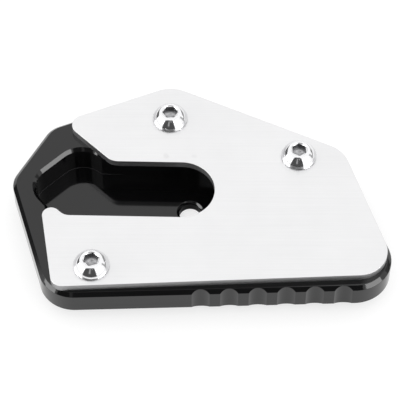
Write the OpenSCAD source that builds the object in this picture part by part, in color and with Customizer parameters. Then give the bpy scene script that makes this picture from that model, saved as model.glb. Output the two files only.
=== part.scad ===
// Foot enlarger for a motorbike side stand: a milled block with a pocket for the stand's own foot,
// a clamp plate over it with a slot for the stand's leg, and three button-head screws.
// The front wall runs along X and the block's underside lies on Z = 0. Plan places are given
// from the centre of the slot's round end, and the whole part is then centred on the block.

/* [Block outline] */
// Slot centre to the front wall
front_reach = 34.97; // [33:0.01:42]
// Slot centre to the sharp front left corner, along the front wall
front_left = 39.26; // [36:0.01:44]
// Slot centre to the sharp front right corner, along the front wall
front_right = 64; // [55:0.1:75]
// Left corner, left of the slot centre
left_x = 50.4; // [49:0.1:58]
// Left corner, behind the slot centre
left_y = 6.6; // [4:0.1:10]
// Upper left corner, left of the slot centre
upper_left_x = 38.8; // [36:0.1:44]
// Upper left corner, behind the slot centre
upper_left_y = 26.4; // [25:0.1:32]
// Peak of the back wall, left of the slot centre
peak_x = 1.8; // [-6:0.1:10]
// Peak of the back wall, behind the slot centre
peak_y = 40.55; // [36:0.01:50]
// Right shoulder, right of the slot centre
shoulder_x = 49.9; // [44:0.1:60]
// Right shoulder, behind the slot centre
shoulder_y = 13.8; // [8:0.1:18]
// Corner radius at the front left
front_left_r = 10.5; // [7:0.1:14]
// Corner radius at the left
left_r = 8; // [6:0.1:12]
// Corner radius at the upper left
upper_left_r = 7.5; // [6:0.1:12]
// Corner radius at the back peak
peak_r = 11; // [6:0.1:16]
// Corner radius at the right shoulder
shoulder_r = 11; // [6:0.1:16]
// Corner radius at the front right
front_right_r = 11; // [7:0.1:14]

/* [Block section] */
// Height of the block
block_h = 12; // [10:0.1:20]
// Floor left under the pocket
floor_t = 3; // [2:0.1:4.5]
// Chamfer round the upper edge
top_chamfer = 1.1; // [0.5:0.1:1.6]
// Bevel round the underside
under_bevel = 4.4; // [1:0.1:5]

/* [Front scallops] */
// How many finger scallops the front wall has
scallop_count = 6; // [3:1:7]
// Centre to centre
scallop_pitch = 8.2; // [7:0.1:9]
// Width of one scallop in the wall
scallop_w = 5.2; // [3:0.1:6]
// Depth of one scallop
scallop_depth = 1.1; // [0.6:0.1:1.6]
// Last scallop's centre to the sharp front right corner
scallop_end = 18.2; // [16:0.1:24]

/* [Slot] */
// Width of the slot for the stand's leg
slot_w = 20; // [14:0.1:24]
// Tilt of the slot, round end down
slot_tilt = 2.95; // [0:0.05:6]
// Straight length of the slot's back edge, from the centre of its round end
slot_back_len = 20.9; // [16:0.1:26]
// Straight length of the slot's front edge, from the centre of its round end
slot_front_len = 33.9; // [30:0.1:36]
// Direction of both flanks of the open mouth
flank_angle = 133.5; // [125:0.5:145]
// Length of the front flank, to the sharp tip
flank_len = 10.7; // [9:0.1:12]

/* [Clamp plate] */
// Thickness of the plate
plate_t = 2.3; // [1.5:0.1:4]
// Plate edge inside the block's back and right walls
plate_inset = 1.1; // [0.8:0.1:3]
// Plate edge inside the block's front wall, at the left end
plate_front_inset = 1.75; // [1.2:0.05:3]
// Slant of the plate's front edge, away from the wall to the right
plate_front_slant = 0.83; // [0:0.01:1.5]
// Plate corner inside the block's sharp front left corner, along the wall
plate_left_inset = 1.65; // [1.2:0.05:3]
// Corner radius at the front left
plate_front_left_r = 3.5; // [2:0.1:6]
// Corner radius at the front right
plate_front_right_r = 8.8; // [6:0.1:12]
// Corner radius at the right shoulder
plate_shoulder_r = 9.9; // [6:0.1:14]
// Corner radius at the back peak
plate_peak_r = 10; // [6:0.1:14]
// Corner radius at the upper left
plate_upper_left_r = 3.75; // [2:0.05:6]
// Corner radius where the slot's back edge meets its flank
slot_back_r = 5; // [2:0.1:8]
// Corner radius where the slot's front edge meets its flank
slot_front_r = 4; // [2:0.1:5]
// Corner radius of the tip
tip_r = 2.6; // [1.5:0.1:2.8]

/* [Pocket] */
// How far the pocket reaches under the plate on each side of the slot
pocket_reach = 3.5; // [2:0.1:4.5]
// Chamfer round the pocket's mouth
mouth_chamfer = 1; // [0.4:0.1:1.4]
// Sharp left corner of the pocket, left of the slot centre
lobe_left_x = 45.7; // [44:0.1:47]
// Sharp left corner of the pocket, behind the slot centre
lobe_left_y = 5.3; // [4:0.1:7]
// Sharp back corner of the pocket, left of the slot centre
lobe_back_x = 30.1; // [28:0.1:32]
// Sharp back corner of the pocket, behind the slot centre
lobe_back_y = 19.7; // [18.5:0.1:20.5]
// Direction of the wall that runs down from the left corner
lobe_left_angle = -52; // [-60:1:-45]
// Length of that wall
lobe_left_len = 10.3; // [9:0.1:11]
// Direction of the wall that runs down from the back corner
lobe_back_angle = -37.2; // [-45:0.1:-30]
// Cutter radius in the left and back corners
lobe_r = 7.5; // [4:0.1:8]
// Radius of the hidden front corner
pocket_front_r = 6; // [3:0.1:8]
// Hole through the floor
floor_hole_d = 6.4; // [4:0.1:8]
// Countersink round the floor hole's upper edge
floor_hole_sink = 0.8; // [0.3:0.1:1.2]
// Floor hole's centre, beyond the slot centre
floor_hole_shift = 2.7; // [0:0.1:5]

/* [Screws] */
// Thread diameter
screw_d = 6; // [5:0.1:6.5]
// Length under the head
screw_len = 10; // [8:0.1:11]
// Diameter of the button head
head_d = 10.5; // [9:0.1:12]
// Height of the button head
head_h = 3.3; // [2.8:0.1:4]
// Height of the head's upright rim
head_rim = 0.4; // [0.2:0.1:0.6]
// Diameter of the flat on top of the head
head_flat_d = 5.7; // [5.6:0.1:6.5]
// Across the flats of the hexagon socket
socket_w = 4; // [3:0.1:4.2]
// Depth of the hexagon socket
socket_depth = 2.1; // [1.5:0.1:2.4]
// Countersink round the socket's mouth
socket_chamfer = 0.15; // [0.05:0.05:0.2]
// Chamfer on the screw's end
screw_tip = 0.8; // [0.4:0.1:1.2]
// Gap between the thread and the tapped hole, on the radius
thread_gap = 0.05; // [0.02:0.01:0.1]
// Gap between the thread and the plate's hole, on the radius
plate_hole_gap = 0.3; // [0.2:0.05:0.5]
// Tapped hole beyond the screw's end
tap_spare = 1.2; // [0.5:0.1:1.5]
// Front screw inside the block's front wall
front_screw_inset = 8.7; // [7.5:0.1:10]
// Front screw to the sharp front left corner, along the wall
front_screw_side = 13; // [11:0.1:17]
// Back screw inside both back walls
back_screw_inset = 12.6; // [8:0.1:13.5]
// Right screw inside the back right wall
right_screw_back = 8.8; // [8:0.1:13]
// Right screw inside the right wall
right_screw_side = 14.5; // [9:0.1:18]
// How far the front, right and back screws are turned
screw_turns = [16, 30, 0]; // [0:1:60]

/* [Hidden] */
$fn = 96;
cut_margin = 0.5;
// Each arc crosses its two walls at this small angle, in degrees
arc_seam = 2;
// How far the two milled runs of the pocket reach into each other
run_overlap = 3;
black = "#1b1b1d";
silver = "#d8d9da";
bright = "#e9eaeb";
slot_r = slot_w / 2;
pocket_r = slot_r + pocket_reach;

// Plan geometry: directions in degrees, points as [x, y]
function heading(angle) = [cos(angle), sin(angle)];
function direction(from, to) = atan2(to.y - from.y, to.x - from.x);
function plan(corner) = [corner.x, corner.y];
function cut_radius(radius) = radius / cos(arc_seam);

// Where the line through p in direction a meets the line through q in direction b
function meet(p, a, q, b) = p + cross(q - p, heading(b)) / cross(heading(a), heading(b)) * heading(a);

// Where two walls meet when the one before a corner moves in by d and the one after it by e
function inside(before, here, after, d, e) =
    let (a = direction(before, here), b = direction(here, after))
    meet(here + d * heading(a + 90), a, here + e * heading(b + 90), b);

// A corner is [x, y, radius], and an outline's corners run counterclockwise
function before(corners, i) = plan(corners[(i + len(corners) - 1) % len(corners)]);
function after(corners, i) = plan(corners[(i + 1) % len(corners)]);
function wall_before(corners, i) = direction(before(corners, i), plan(corners[i]));
function wall_after(corners, i) = direction(plan(corners[i]), after(corners, i));
function turn_at(corners, i) = (wall_after(corners, i) - wall_before(corners, i) + 540) % 360 - 180;
function arc_centre(corners, i) =
    plan(corners[i]) - tangent_len(corners, i) * heading(wall_before(corners, i))
        + sign(turn_at(corners, i)) * corners[i].z * heading(wall_before(corners, i) + 90);
function tangent_len(corners, i) = corners[i].z * tan(abs(turn_at(corners, i)) / 2);
function is_inward(corners, i) = turn_at(corners, i) < 0 && corners[i].z > 0;
function is_outward(corners, i) = turn_at(corners, i) > 0 && corners[i].z > 0;
function grown(corners, d) = [
    for (i = [0:len(corners) - 1])
        inside(before(corners, i), plan(corners[i]), after(corners, i), -d, -d)
];

// The block's sharp corners, from the front left
block_corners = [
    [-front_left, -front_reach, front_left_r],
    [front_right, -front_reach, front_right_r],
    [shoulder_x, shoulder_y, shoulder_r],
    [-peak_x, peak_y, peak_r],
    [-upper_left_x, upper_left_y, upper_left_r],
    [-left_x, left_y, left_r]
];
front_left_at = plan(block_corners[0]);
front_right_at = plan(block_corners[1]);
shoulder_at = plan(block_corners[2]);
peak_at = plan(block_corners[3]);
upper_left_at = plan(block_corners[4]);

// The arcs reach furthest to the left, right and back. The part is centred on the block's box.
arc_middles = [for (i = [0:len(block_corners) - 1]) arc_centre(block_corners, i)];
arc_sizes = [for (corner = block_corners) cut_radius(corner.z)];
low_x = min([for (i = [0:len(arc_sizes) - 1]) arc_middles[i].x - arc_sizes[i]]);
high_x = max([for (i = [0:len(arc_sizes) - 1]) arc_middles[i].x + arc_sizes[i]]);
high_y = max([for (i = [0:len(arc_sizes) - 1]) arc_middles[i].y + arc_sizes[i]]);
slot_at = [-(low_x + high_x) / 2, -(high_y - front_reach) / 2, 0];

// The slot runs to the left from its round end, whose centre is the zero of the plan
slot_out = 180 - slot_tilt;
function beside_slot(along, across) = along * heading(slot_out) + across * heading(slot_out - 90);

// The plate's sharp corners, from the front left. Its slot ends square here, at the centre of its round end.
function rounded(point, radius) = [point.x, point.y, radius];
function sharp(point) = [point.x, point.y, 0];
plate_front_left = front_left_at + [plate_left_inset, plate_front_inset];
plate_shoulder = inside(front_right_at, shoulder_at, peak_at, plate_inset, plate_inset);
plate_peak = inside(shoulder_at, peak_at, upper_left_at, plate_inset, plate_inset);
right_wall = direction(front_right_at, shoulder_at);
back_left_wall = direction(peak_at, upper_left_at);
slot_back_corner = beside_slot(slot_back_len, slot_r);
slot_front_corner = beside_slot(slot_front_len, -slot_r);
plate_tip = slot_front_corner + flank_len * heading(flank_angle);
plate_corners = [
    rounded(plate_front_left, plate_front_left_r),
    rounded(meet(plate_front_left, plate_front_slant, plate_shoulder, right_wall), plate_front_right_r),
    rounded(plate_shoulder, plate_shoulder_r),
    rounded(plate_peak, plate_peak_r),
    rounded(meet(slot_back_corner, flank_angle, plate_peak, back_left_wall), plate_upper_left_r),
    rounded(slot_back_corner, slot_back_r),
    sharp(beside_slot(0, slot_r)),
    sharp(beside_slot(0, -slot_r)),
    rounded(slot_front_corner, slot_front_r),
    rounded(plate_tip, tip_r)
];

// The pocket is milled in two runs that cross. The bar follows the slot and passes under the plate's tip.
lobe_left = [-lobe_left_x, lobe_left_y];
lobe_back = [-lobe_back_x, lobe_back_y];
left_nose = lobe_left + lobe_left_len * heading(lobe_left_angle);
tip_edge = direction(plate_tip, plate_front_left);
back_nose = meet(lobe_back, lobe_back_angle, beside_slot(0, pocket_r), slot_out);
bar_corners = [
    rounded(meet(left_nose, tip_edge, beside_slot(0, -pocket_r), slot_out), pocket_front_r),
    rounded(beside_slot(-pocket_r, -pocket_r), pocket_r),
    rounded(beside_slot(-pocket_r, pocket_r), pocket_r),
    sharp(back_nose + run_overlap * heading(slot_out)),
    sharp(left_nose - run_overlap * heading(tip_edge))
];

// The lobe opens to the left and the back, where the stand's foot is wider than its leg
lobe_corners = [
    sharp(left_nose + run_overlap * heading(lobe_left_angle)),
    sharp(back_nose + run_overlap * heading(lobe_back_angle)),
    rounded(lobe_back, lobe_r),
    rounded(lobe_left, lobe_r)
];

// Screw centres: front, right, back
screw_places = [
    front_left_at + [front_screw_side, front_screw_inset],
    inside(front_right_at, shoulder_at, peak_at, right_screw_side, right_screw_back),
    inside(shoulder_at, peak_at, upper_left_at, back_screw_inset, back_screw_inset)
];

// What lies between a sharp outward corner and its arc
module corner_waste(corners, i) {
    turn = turn_at(corners, i);
    radius = corners[i].z;
    start = wall_before(corners, i) - 90;
    reach = (radius + cut_margin) / cos(turn / 2);
    translate(arc_centre(corners, i))
        difference() {
            polygon([
                [0, 0],
                reach * heading(start),
                reach * heading(start + turn / 2),
                reach * heading(start + turn)
            ]);
            circle(cut_radius(radius));
        }
}

// The sharp outline, with a straight cut across each inward corner that is rounded
function cut_across(corners) = [
    for (i = [0:len(corners) - 1])
        for (point = is_inward(corners, i)
                ? [plan(corners[i]) - tangent_len(corners, i) * heading(wall_before(corners, i)),
                    plan(corners[i]) + tangent_len(corners, i) * heading(wall_after(corners, i))]
                : [plan(corners[i])])
            point
];

// A flat shape with straight sides and rounded corners
module outline(corners) {
    difference() {
        polygon(cut_across(corners));
        for (i = [0:len(corners) - 1]) {
            if (is_outward(corners, i)) corner_waste(corners, i);
            if (is_inward(corners, i)) translate(arc_centre(corners, i)) circle(cut_radius(corners[i].z));
        }
    }
}

// What lies outside a wall whose section is a list of [distance out, height], from the bottom up
module waste_section(section, out) {
    last = len(section) - 1;
    foot_run = section[1] - section[0];
    top_run = section[last] - section[last - 1];
    foot = section[0] - cut_margin * foot_run / norm(foot_run);
    top = section[last] + cut_margin * top_run / norm(top_run);
    bends = [for (i = [1:1:last - 1]) section[i]];
    polygon(concat([[out, foot.y], foot], bends, [top, [out, top.y]]));
}

// A body with no inward corners, whose wall has the same section along every side and round every corner
module milled(corners, section) {
    low = section[0].y;
    high = section[len(section) - 1].y;
    widest = max([for (point = section) point.x]);
    out = widest + cut_margin;
    difference() {
        translate([0, 0, low])
            linear_extrude(high - low)
                polygon(grown(corners, out));
        for (i = [0:len(corners) - 1]) {
            here = plan(corners[i]);
            next = after(corners, i);
            along = wall_after(corners, i);
            turn = turn_at(corners, i);
            radius = corners[i].z;
            spare = 2 * out;
            translate(next + spare * heading(along))
                rotate([90, 0, along - 90])
                    linear_extrude(norm(next - here) + 2 * spare)
                        waste_section(section, out + cut_margin);
            if (is_outward(corners, i)) {
                translate(arc_centre(corners, i))
                    rotate_extrude(angle = turn, start = wall_before(corners, i) - 90)
                        translate([cut_radius(radius), 0])
                            waste_section(section, (radius + widest) / cos(turn / 2) - radius + cut_margin);
            }
        }
    }
}

// Upright scallops along the front wall
module scallops() {
    radius = (pow(scallop_w / 2, 2) + pow(scallop_depth, 2)) / (2 * scallop_depth);
    for (i = [0:scallop_count - 1]) {
        translate([
            front_right - scallop_end - i * scallop_pitch,
            -front_reach + scallop_depth - radius,
            -cut_margin
        ])
            cylinder(r = radius, h = block_h + 2 * cut_margin);
    }
}

// A blind tapped hole, open at Z = 0, with the drill's cone at its end
module tapped_hole() {
    radius = screw_d / 2 + thread_gap;
    depth = screw_len - plate_t + tap_spare;
    rotate_extrude()
        polygon([[0, -depth - radius * tan(30)], [radius, -depth], [radius, cut_margin], [0, cut_margin]]);
}

module pocket() {
    section = [
        [0, floor_t],
        [0, block_h - mouth_chamfer],
        [mouth_chamfer + cut_margin, block_h + cut_margin]
    ];
    milled(bar_corners, section);
    milled(lobe_corners, section);
    translate(beside_slot(-floor_hole_shift, 0)) {
        translate([0, 0, -cut_margin])
            cylinder(d = floor_hole_d, h = floor_t + 2 * cut_margin);
        translate([0, 0, floor_t - floor_hole_sink - cut_margin])
            cylinder(
                r1 = floor_hole_d / 2 - cut_margin,
                r2 = floor_hole_d / 2 + floor_hole_sink + cut_margin,
                h = floor_hole_sink + 2 * cut_margin
            );
    }
}

module base() {
    section = [
        [-under_bevel, 0],
        [0, under_bevel],
        [0, block_h - top_chamfer],
        [-top_chamfer, block_h]
    ];
    color(black)
        translate(slot_at)
            difference() {
                milled(block_corners, section);
                pocket();
                scallops();
                for (place = screw_places) {
                    translate([place.x, place.y, block_h])
                        tapped_hole();
                }
            }
}

module clamp_plate() {
    color(silver)
        translate(slot_at + [0, 0, block_h])
            difference() {
                linear_extrude(plate_t)
                    outline(plate_corners);
                translate([0, 0, -cut_margin])
                    cylinder(r = cut_radius(slot_r), h = plate_t + 2 * cut_margin);
                for (place = screw_places) {
                    translate([place.x, place.y, -cut_margin])
                        cylinder(r = screw_d / 2 + plate_hole_gap, h = plate_t + 2 * cut_margin);
                }
            }
}

// The head's dome is a ball whose centre lies on the axis, cut by the upright rim and the flat top
module button_head() {
    rim_r = head_d / 2;
    flat_r = head_flat_d / 2;
    dome_z = (head_h + head_rim) / 2 - (pow(rim_r, 2) - pow(flat_r, 2)) / (2 * (head_h - head_rim));
    dome_r = norm([rim_r, head_rim - dome_z]);
    rotate_extrude()
        intersection() {
            translate([0, dome_z])
                circle(dome_r);
            square([rim_r, head_h]);
        }
}

// The socket's drilled foot is narrower than its flats, and its cone reaches up into the hexagon
module socket() {
    corner_r = socket_w / sqrt(3);
    drill_r = socket_w / 2 - 0.2;
    overlap = 0.1;
    translate([0, 0, head_h - socket_depth])
        cylinder(r = corner_r, h = socket_depth + cut_margin, $fn = 6);
    translate([0, 0, head_h - socket_depth - drill_r * tan(30)])
        cylinder(r1 = 0, r2 = drill_r + overlap, h = (drill_r + overlap) * tan(30));
    translate([0, 0, head_h - socket_chamfer])
        cylinder(r1 = corner_r, r2 = corner_r + socket_chamfer, h = socket_chamfer);
}

module button_screw() {
    difference() {
        union() {
            button_head();
            translate([0, 0, -screw_len + screw_tip])
                cylinder(d = screw_d, h = screw_len - screw_tip);
            translate([0, 0, -screw_len])
                cylinder(r1 = screw_d / 2 - screw_tip, r2 = screw_d / 2, h = screw_tip);
        }
        socket();
    }
}

module button_screws() {
    color(bright)
        translate(slot_at + [0, 0, block_h + plate_t])
            for (i = [0:len(screw_places) - 1]) {
                translate(screw_places[i])
                    rotate(screw_turns[i])
                        button_screw();
            }
}

base();
clamp_plate();
button_screws();
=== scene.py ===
from math import cos, radians, sin

import bmesh
import bpy
from mathutils import Euler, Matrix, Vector


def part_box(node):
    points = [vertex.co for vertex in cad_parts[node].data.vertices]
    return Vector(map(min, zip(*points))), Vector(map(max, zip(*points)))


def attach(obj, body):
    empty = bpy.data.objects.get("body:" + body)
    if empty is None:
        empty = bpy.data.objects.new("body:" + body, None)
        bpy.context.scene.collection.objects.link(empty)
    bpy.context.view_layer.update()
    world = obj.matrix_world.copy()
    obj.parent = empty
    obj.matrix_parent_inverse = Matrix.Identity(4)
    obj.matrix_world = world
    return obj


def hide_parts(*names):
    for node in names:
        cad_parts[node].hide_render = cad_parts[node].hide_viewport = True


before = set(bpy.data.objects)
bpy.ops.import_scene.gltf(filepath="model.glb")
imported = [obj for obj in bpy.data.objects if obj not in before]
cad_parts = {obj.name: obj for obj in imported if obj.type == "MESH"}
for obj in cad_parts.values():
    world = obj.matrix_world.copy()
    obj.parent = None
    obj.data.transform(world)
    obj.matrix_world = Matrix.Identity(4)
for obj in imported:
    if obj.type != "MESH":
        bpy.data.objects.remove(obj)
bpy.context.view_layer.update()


# The block. Milled from one bar of aluminium and anodised black: a pocket for the stand's own foot,
# chamfered upper edges, a deep bevel underneath and six finger scallops in the front wall.
# It lies on its underside, and everything else is screwed down onto it.
BLOCK_EDGE_BREAK = 0.00006
BLOCK_BLACK = (0.0018, 0.0018, 0.002)
BLOCK_HAZE = (0.0038, 0.0038, 0.0041)
BLOCK_ROUGHNESS = (0.06, 0.1)
BLOCK_IOR = 1.5
BLOCK_CLOUDS = 95.0
BORE_PLACE = (-0.0025856, -0.0024146)
BORE_RADIUS = 0.0033
BORE_ROUGHNESS = (0.4, 0.5)
BORE_GLOSS = 0.06
BORE_CLOUDS = 300.0
LOBE_PLACE = (-0.032, 0.004)
LOBE_REACH = 0.024
# The grey line round the foot of the lobe's wall is a painted highlight: the light that the end mill's corner radius
# catches where the wall meets the floor.
PAINTED_HIGHLIGHT_HEIGHT = 0.0031
PAINTED_HIGHLIGHT_WIDTH = 0.00008
PAINTED_HIGHLIGHT_END = (-0.021, -0.029)
PAINTED_HIGHLIGHT_GREY = (0.09, 0.09, 0.092)


def deburred(node, name, edge_break, sharper_than=28):
    """A copy of a CAD node with its triangles joined and its outside edges broken, as a deburring tool leaves them."""
    weld, flat_within, rounding, face_area_weight = 2e-7, 0.05, 2, 80
    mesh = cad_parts[node].data.copy()
    mesh.name = name
    for left_over in ("custom_normal", "sharp_edge", "sharp_face"):
        if left_over in mesh.attributes:
            mesh.attributes.remove(mesh.attributes[left_over])
    mesh.materials.clear()
    shape = bmesh.new()
    shape.from_mesh(mesh)
    bmesh.ops.remove_doubles(shape, verts=shape.verts, dist=weld)
    bmesh.ops.dissolve_limit(
        shape, angle_limit=radians(flat_within), verts=shape.verts, edges=shape.edges, delimit=set(),
    )
    sharp = [e for e in shape.edges if e.is_manifold and e.is_convex and e.calc_face_angle() > radians(sharper_than)]
    bmesh.ops.bevel(
        shape, geom=sharp, offset=edge_break, offset_type="OFFSET", affect="EDGES",
        segments=rounding, profile=0.5, material=-1, clamp_overlap=False,
    )
    shape.normal_update()
    for face in shape.faces:
        face.smooth = True
    for edge in shape.edges:
        inner_corner = edge.is_manifold and not edge.is_convex and edge.calc_face_angle() > radians(sharper_than)
        edge.smooth = not inner_corner
    shape.to_mesh(mesh)
    shape.free()
    piece = bpy.data.objects.new(name, mesh)
    bpy.context.scene.collection.objects.link(piece)
    even = piece.modifiers.new("even shading", "WEIGHTED_NORMAL")
    even.mode = "FACE_AREA"
    even.weight = face_area_weight
    even.keep_sharp = True
    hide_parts(node)
    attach(piece, "root")
    return piece


def socket(group, name, way, kind="NodeSocketFloat", value=None):
    """One named input or output of a node group."""
    made = group.interface.new_socket(name=name, in_out=way, socket_type=kind)
    if value is not None:
        made.default_value = value


def surface(name):
    """An empty material: its node tree and its Principled shader."""
    material = bpy.data.materials.new(name)
    material.use_nodes = True
    tree = material.node_tree
    return material, tree, tree.nodes["Principled BSDF"]


def blend_colours(tree, low, high, factor):
    """A colour that runs from low to high as the factor goes from 0 to 1."""
    mix = tree.nodes.new("ShaderNodeMix")
    mix.data_type = "RGBA"
    mix.inputs["A"].default_value = (*low, 1)
    mix.inputs["B"].default_value = (*high, 1)
    tree.links.new(factor, mix.inputs["Factor"])
    return mix.outputs["Result"]


def blend_values(tree, low, high, factor):
    """A value that runs from low to high as the factor goes from 0 to 1."""
    spread = tree.nodes.new("ShaderNodeMapRange")
    spread.inputs["To Min"].default_value = low
    spread.inputs["To Max"].default_value = high
    tree.links.new(factor, spread.inputs["Value"])
    return spread.outputs["Result"]


def overlaid(tree, colour, overlay, mask, most):
    """A colour with another colour laid over it where the mask is high, at most that strong: for real smudges, and for
    a painted highlight.
    """
    strength = blend_values(tree, 0, most, mask)
    mix = tree.nodes.new("ShaderNodeMix")
    mix.data_type = "RGBA"
    mix.inputs["B"].default_value = (*overlay, 1)
    tree.links.new(colour, mix.inputs["A"])
    tree.links.new(strength, mix.inputs["Factor"])
    return mix.outputs["Result"]


def calculated(tree, operation, *terms):
    """The outcome of one sum, on plain numbers or on what other nodes give."""
    step = tree.nodes.new("ShaderNodeMath")
    step.operation = operation
    for term, entry in zip(terms, step.inputs):
        if isinstance(term, float):
            entry.default_value = term
        else:
            tree.links.new(term, entry)
    return step.outputs["Value"]


def object_place(tree, turn=0, stretch=(1, 1, 1)):
    """The place on the piece, turned and stretched for a pattern."""
    where = tree.nodes.new("ShaderNodeTexCoord")
    mapping = tree.nodes.new("ShaderNodeMapping")
    mapping.vector_type = "TEXTURE"
    mapping.inputs["Rotation"].default_value = (0, 0, radians(turn))
    mapping.inputs["Scale"].default_value = stretch
    tree.links.new(where.outputs["Object"], mapping.inputs["Vector"])
    return mapping.outputs["Vector"]


def handled_group():
    """Handling marks: soft clouds for the gloss, and a few smudges with uneven outlines."""
    smudge_rim, smudge_core, unevenness = 0.09, 0.04, 0.006
    group = bpy.data.node_groups.new("handling marks", "ShaderNodeTree")
    socket(group, "Vector", "INPUT", "NodeSocketVector")
    socket(group, "Cloud size", "INPUT", value=120.0)
    socket(group, "Speck size", "INPUT", value=900.0)
    socket(group, "Cloud", "OUTPUT")
    socket(group, "Speck", "OUTPUT")
    nodes, links = group.nodes, group.links
    given, out = nodes.new("NodeGroupInput"), nodes.new("NodeGroupOutput")
    cloud = nodes.new("ShaderNodeTexNoise")
    cloud.inputs["Detail"].default_value = 3
    cloud.inputs["Roughness"].default_value = 0.6
    speck = nodes.new("ShaderNodeTexVoronoi")
    speck.inputs["Randomness"].default_value = 1
    thin = nodes.new("ShaderNodeMapRange")
    thin.inputs["From Min"].default_value = smudge_rim
    thin.inputs["From Max"].default_value = smudge_core
    uneven = nodes.new("ShaderNodeVectorMath")
    uneven.operation = "MULTIPLY_ADD"
    uneven.inputs[1].default_value = (unevenness, unevenness, unevenness)
    links.new(cloud.outputs["Color"], uneven.inputs[0])
    links.new(given.outputs["Vector"], uneven.inputs[2])
    links.new(given.outputs["Vector"], cloud.inputs["Vector"])
    links.new(given.outputs["Cloud size"], cloud.inputs["Scale"])
    links.new(uneven.outputs["Vector"], speck.inputs["Vector"])
    links.new(given.outputs["Speck size"], speck.inputs["Scale"])
    links.new(speck.outputs["Distance"], thin.inputs["Value"])
    links.new(cloud.outputs["Fac"], out.inputs["Cloud"])
    links.new(thin.outputs["Result"], out.inputs["Speck"])
    return group


def grain_group():
    """Machining grain: long fine lines along X, in two widths."""
    line_scales, finer_share = (1.0, 3.1), 0.4
    group = bpy.data.node_groups.new("machining grain", "ShaderNodeTree")
    socket(group, "Vector", "INPUT", "NodeSocketVector")
    socket(group, "Line width", "INPUT", value=0.0004)
    socket(group, "Line length", "INPUT", value=0.03)
    socket(group, "Lines", "OUTPUT")
    nodes, links = group.nodes, group.links
    given, out = nodes.new("NodeGroupInput"), nodes.new("NodeGroupOutput")
    size = nodes.new("ShaderNodeCombineXYZ")
    links.new(given.outputs["Line length"], size.inputs["X"])
    links.new(given.outputs["Line width"], size.inputs["Y"])
    links.new(given.outputs["Line width"], size.inputs["Z"])
    place = nodes.new("ShaderNodeVectorMath")
    place.operation = "DIVIDE"
    links.new(given.outputs["Vector"], place.inputs[0])
    links.new(size.outputs["Vector"], place.inputs[1])
    both = nodes.new("ShaderNodeMix")
    both.inputs["Factor"].default_value = finer_share
    for scale, entry in zip(line_scales, ("A", "B")):
        noise = nodes.new("ShaderNodeTexNoise")
        noise.inputs["Scale"].default_value = scale
        noise.inputs["Detail"].default_value = 2
        links.new(place.outputs["Vector"], noise.inputs["Vector"])
        links.new(noise.outputs["Fac"], both.inputs[entry])
    links.new(both.outputs["Result"], out.inputs["Lines"])
    return group


handling_marks = handled_group()
machining_grain = grain_group()


def add_group(tree, group, vector, **values):
    """A shared effect placed in a material, with its own values."""
    node = tree.nodes.new("ShaderNodeGroup")
    node.node_tree = group
    tree.links.new(vector, node.inputs["Vector"])
    for name, value in values.items():
        node.inputs[name.replace("_", " ").capitalize()].default_value = value
    return node


def add_relief(tree, shader, height, strength, depth):
    """Fine relief in a surface, depth in metres."""
    bump = tree.nodes.new("ShaderNodeBump")
    bump.inputs["Strength"].default_value = strength
    bump.inputs["Distance"].default_value = depth
    tree.links.new(height, bump.inputs["Height"])
    tree.links.new(bump.outputs["Normal"], shader.inputs["Normal"])


def clouded(name, dark, light, roughness, cloud_size, stretch=(1, 1, 1)):
    """A material whose colour and gloss drift together with the handling clouds."""
    material, tree, shader = surface(name)
    marks = add_group(tree, handling_marks, object_place(tree, stretch=stretch), cloud_size=cloud_size)
    tree.links.new(blend_colours(tree, dark, light, marks.outputs["Cloud"]), shader.inputs["Base Color"])
    tree.links.new(blend_values(tree, *roughness, marks.outputs["Cloud"]), shader.inputs["Roughness"])
    return material, tree, shader


anodised, tree, shader = clouded("black_anodise", BLOCK_BLACK, BLOCK_HAZE, BLOCK_ROUGHNESS, BLOCK_CLOUDS)
shader.inputs["IOR"].default_value = BLOCK_IOR
grain = add_group(tree, machining_grain, object_place(tree), line_width=0.0003, line_length=0.02)
add_relief(tree, shader, grain.outputs["Lines"], strength=0.15, depth=0.000004)

bored, tree, shader = clouded("black_bore", BLOCK_BLACK, BLOCK_HAZE, BORE_ROUGHNESS, BORE_CLOUDS)
shader.inputs["Specular IOR Level"].default_value = BORE_GLOSS

milled, tree, shader = clouded("black_milled_wall", BLOCK_BLACK, BLOCK_HAZE, BLOCK_ROUGHNESS, BLOCK_CLOUDS)
shader.inputs["IOR"].default_value = BLOCK_IOR
where = tree.nodes.new("ShaderNodeSeparateXYZ")
tree.links.new(object_place(tree), where.inputs["Vector"])
# Painted highlight: a thin grey line at the foot of the pocket wall, fading along X, standing in for the light on the
# end mill's corner radius.
at_foot = calculated(tree, "COMPARE", where.outputs["Z"], PAINTED_HIGHLIGHT_HEIGHT, PAINTED_HIGHLIGHT_WIDTH)
in_lobe = tree.nodes.new("ShaderNodeMapRange")
in_lobe.inputs["From Min"].default_value = PAINTED_HIGHLIGHT_END[0]
in_lobe.inputs["From Max"].default_value = PAINTED_HIGHLIGHT_END[1]
tree.links.new(where.outputs["X"], in_lobe.inputs["Value"])
painted_highlight = calculated(tree, "MULTIPLY", at_foot, in_lobe.outputs["Result"])
wall_colour = shader.inputs["Base Color"].links[0].from_socket
tree.links.new(overlaid(tree, wall_colour, PAINTED_HIGHLIGHT_GREY, painted_highlight, 1), shader.inputs["Base Color"])

block = deburred("base", "anodised_block", BLOCK_EDGE_BREAK)
for finish in (anodised, bored, milled):
    block.data.materials.append(finish)
hole = Vector((*BORE_PLACE, 0))
lobe = Vector((*LOBE_PLACE, 0))
for face in block.data.polygons:
    across = Vector((face.center.x, face.center.y, 0))
    in_bore = (across - hole).length < BORE_RADIUS
    in_pocket = (across - lobe).length < LOBE_REACH and face.normal.dot(lobe - across) > 0
    upright = abs(face.normal.z) < 0.1
    face.material_index = 1 if upright and in_bore else 2 if upright and in_pocket else 0


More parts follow.
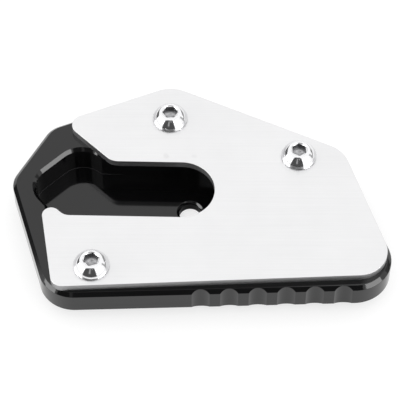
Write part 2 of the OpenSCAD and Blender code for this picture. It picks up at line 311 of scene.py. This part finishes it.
# The clamp plate. Flat stainless steel sheet, cut to shape, brushed along its length and left bare.
# It lies on the block's upper face, a little inside its edges, and holds the stand's foot down.
PLATE_EDGE_BREAK = 0.00006
PLATE_SILVER = (0.815, 0.815, 0.82)
PLATE_DULL = (0.72, 0.72, 0.725)
PLATE_SMUDGE = (0.5, 0.5, 0.505)
PLATE_ROUGHNESS = (0.30, 0.42)
PLATE_BRUSHING = -1.7
PLATE_CUT = (0.46, 0.46, 0.465)
PLATE_CUT_SHADE = (0.36, 0.36, 0.365)
PLATE_CUT_ROUGHNESS = (0.42, 0.5)
PLATE_CUT_STREAKS = (0.2, 0.2, 1)

brushed, tree, shader = surface("brushed_steel")
place = object_place(tree, turn=PLATE_BRUSHING)
grain = add_group(tree, machining_grain, place, line_width=0.00035, line_length=0.045)
marks = add_group(tree, handling_marks, object_place(tree), cloud_size=55.0, speck_size=75.0)
brushed_colour = blend_colours(tree, PLATE_DULL, PLATE_SILVER, grain.outputs["Lines"])
smudged_colour = overlaid(tree, brushed_colour, PLATE_SMUDGE, marks.outputs["Speck"], 0.25)
clouded_colour = overlaid(tree, smudged_colour, PLATE_SMUDGE, marks.outputs["Cloud"], 0.22)
tree.links.new(clouded_colour, shader.inputs["Base Color"])
tree.links.new(blend_values(tree, *PLATE_ROUGHNESS, marks.outputs["Cloud"]), shader.inputs["Roughness"])
shader.inputs["Metallic"].default_value = 1
add_relief(tree, shader, grain.outputs["Lines"], strength=0.3, depth=0.00001)

cut_edge, tree, shader = clouded(
    "cut_steel_edge", PLATE_CUT_SHADE, PLATE_CUT, PLATE_CUT_ROUGHNESS, cloud_size=500.0, stretch=PLATE_CUT_STREAKS,
)
shader.inputs["Metallic"].default_value = 1

plate = deburred("clamp_plate", "brushed_plate", PLATE_EDGE_BREAK)
for finish in (brushed, cut_edge):
    plate.data.materials.append(finish)
for face in plate.data.polygons:
    face.material_index = 1 if abs(face.normal.z) < 0.7 else 0


# The screws. Three M6 button-head screws of bright stainless steel, with hexagon sockets.
# They pass through the plate's holes into tapped holes in the block.
SCREW_EDGE_BREAK = 0.0001
SCREW_BRIGHT = (0.84, 0.84, 0.85)
SCREW_WORN = (0.76, 0.76, 0.77)
SCREW_ROUGHNESS = (0.06, 0.14)
SOCKET_STEEL = (0.56, 0.56, 0.57)
SOCKET_SHADE = (0.42, 0.42, 0.43)
SOCKET_ROUGHNESS = (0.38, 0.5)
SOCKET_FOOT = 0.0156
SOCKET_WALLS = 0.0150
RIM_PAINTED_SHADE = (0.24, 0.24, 0.245)
RIM_PAINTED_SHADE_DEEP = (0.16, 0.16, 0.165)
RIM_HEIGHT = 0.00042

plate_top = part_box("clamp_plate")[1][2]
polished, tree, shader = clouded("bright_steel", SCREW_WORN, SCREW_BRIGHT, SCREW_ROUGHNESS, cloud_size=400.0)
shader.inputs["Metallic"].default_value = 1
forged, tree, shader = clouded("forged_socket_steel", SOCKET_SHADE, SOCKET_STEEL, SOCKET_ROUGHNESS, cloud_size=700.0)
shader.inputs["Metallic"].default_value = 1
# Painted shade: the head's bottom rim, where it sits on the plate, and the socket's walls get this dark steel colour.
# It stands in for the contact shadow under the head and the shade inside the socket.
painted_shade_finish, tree, shader = clouded("steel_with_painted_shade", RIM_PAINTED_SHADE_DEEP, RIM_PAINTED_SHADE, SOCKET_ROUGHNESS, cloud_size=900.0)
shader.inputs["Metallic"].default_value = 1

screws = deburred("button_screws", "button_head_screws", SCREW_EDGE_BREAK, sharper_than=35)
for finish in (polished, forged, painted_shade_finish):
    screws.data.materials.append(finish)
# The rim and the socket walls take the painted shade. The socket's floor takes the duller forged steel.
for face in screws.data.polygons:
    upright = abs(face.normal.z) < 0.1
    socket_wall = face.center.z > SOCKET_WALLS and upright
    head_rim = plate_top < face.center.z < plate_top + RIM_HEIGHT and upright
    socket_floor = plate_top < face.center.z < SOCKET_FOOT and face.normal.z > 0.8
    face.material_index = 2 if socket_wall or head_rim else 1 if socket_floor else 0


# The studio. A white table in a white tent, with two bright lamps behind softening cloths at the
# left and right, and between them the black drape behind the camera, with the camera's stand and
# strap before it. Some grey and dark stands show at the foot of the tent, behind the object.
TABLE_WHITE = (0.36, 0.36, 0.36)
TABLE_ROUGHNESS = 0.9
TABLE_LIFT = 0.68
TABLE_REACH = 3
TABLE_DROP = 0.00005
TENT_LEVEL = 1.2
STUDIO_SHEETS = (
    # name, from and to azimuth, from and to elevation, distance, level
    ("black_drape", -140, -64, 0, 78, 1.00, 0.085),
    ("camera_stand", -108, -98, 22, 58, 0.95, 0.42),
    ("camera_strap", -88, -80, 46, 66, 0.95, 0.42),
    ("left_lamp", -194, -146, 13, 42, 1.05, 6.0),
    ("right_lamp", -57, -17, 10, 47, 1.05, 6.0),
    ("grey_foot", 0, 160, 0, 7, 1.20, 0.3),
    ("dark_stand", 112, 163, 0, 19, 1.15, 0.12),
    ("thin_stand", 24, 62, 7, 12, 1.15, 0.15),
    ("side_stand", 1, 12, 6, 30, 1.10, 0.5),
)
SHEET_ROWS = 8
SHEET_COLUMNS = 16


def emitting(name, level):
    """A plain material that gives off light of one level."""
    material, tree, shader = surface(name)
    shader.inputs["Base Color"].default_value = (0, 0, 0, 1)
    shader.inputs["Specular IOR Level"].default_value = 0
    shader.inputs["Emission Color"].default_value = (1, 1, 1, 1)
    shader.inputs["Emission Strength"].default_value = level
    return material


def studio_piece(name, shape, material, place=(0, 0, 0)):
    """A finished piece of the studio from a bmesh."""
    mesh = bpy.data.meshes.new(name)
    shape.to_mesh(mesh)
    shape.free()
    mesh.materials.append(material)
    made = bpy.data.objects.new(name, mesh)
    bpy.context.scene.collection.objects.link(made)
    made.location = place
    return made


def hung_sheet(around, around_end, up, up_end, distance):
    """Cloth hung round the table: an upright arc, spun about the object between two azimuths."""
    shape = bmesh.new()
    arc = []
    for row in range(SHEET_ROWS + 1):
        height = radians(up + (up_end - up) * row / SHEET_ROWS)
        place = Vector((distance * cos(height), 0, distance * sin(height)))
        arc.append(shape.verts.new(Euler((0, 0, radians(around))).to_matrix() @ place))
    for low, high in zip(arc, arc[1:]):
        shape.edges.new((low, high))
    bmesh.ops.spin(
        shape, geom=list(shape.verts) + list(shape.edges), cent=(0, 0, 0), axis=(0, 0, 1),
        angle=radians(around_end - around), steps=SHEET_COLUMNS, use_merge=False,
    )
    return shape


table_top, tree, shader = surface("white_table")
shader.inputs["Base Color"].default_value = (*TABLE_WHITE, 1)
shader.inputs["Roughness"].default_value = TABLE_ROUGHNESS
shader.inputs["Specular IOR Level"].default_value = 0
shader.inputs["Emission Color"].default_value = (1, 1, 1, 1)
path = tree.nodes.new("ShaderNodeLightPath")
seen = path.outputs["Is Camera Ray"]
for ray in ("Is Glossy Ray", "Is Transmission Ray"):
    seen = calculated(tree, "MAXIMUM", seen, path.outputs[ray])
tree.links.new(calculated(tree, "MULTIPLY", seen, TABLE_LIFT), shader.inputs["Emission Strength"])
top = bmesh.new()
bmesh.ops.create_grid(top, x_segments=1, y_segments=1, size=TABLE_REACH)
studio_piece("table", top, table_top, (0, 0, -TABLE_DROP))

world = bpy.data.worlds.new("white_tent")
bpy.context.scene.world = world
world.use_nodes = True
tent = world.node_tree.nodes["Background"]
tent.inputs["Color"].default_value = (1, 1, 1, 1)
tent.inputs["Strength"].default_value = TENT_LEVEL

for name, around, around_end, up, up_end, distance, level in STUDIO_SHEETS:
    card = studio_piece(name, hung_sheet(around, around_end, up, up_end, distance), emitting(name, level))
    card.visible_camera = False
    card.visible_diffuse = False
    card.visible_shadow = False


# The camera. A long lens that looks down at 54 degrees, almost square to the front wall.
CAMERA_LENS = 169.74
CAMERA_SENSOR = 36
CAMERA_PLACE = (-0.00940, -0.33182, 0.46250)
CAMERA_TILT = 36
CAMERA_TURN = -1.7

camera = bpy.data.objects.new("camera", bpy.data.cameras.new("camera"))
bpy.context.scene.collection.objects.link(camera)
camera.data.lens = CAMERA_LENS
camera.data.sensor_width = CAMERA_SENSOR
camera.data.clip_start = 0.01
camera.data.clip_end = 20
camera.location = CAMERA_PLACE
camera.rotation_euler = (radians(CAMERA_TILT), 0, radians(CAMERA_TURN))
bpy.context.scene.camera = camera
bpy.context.scene.view_settings.view_transform = "Standard"
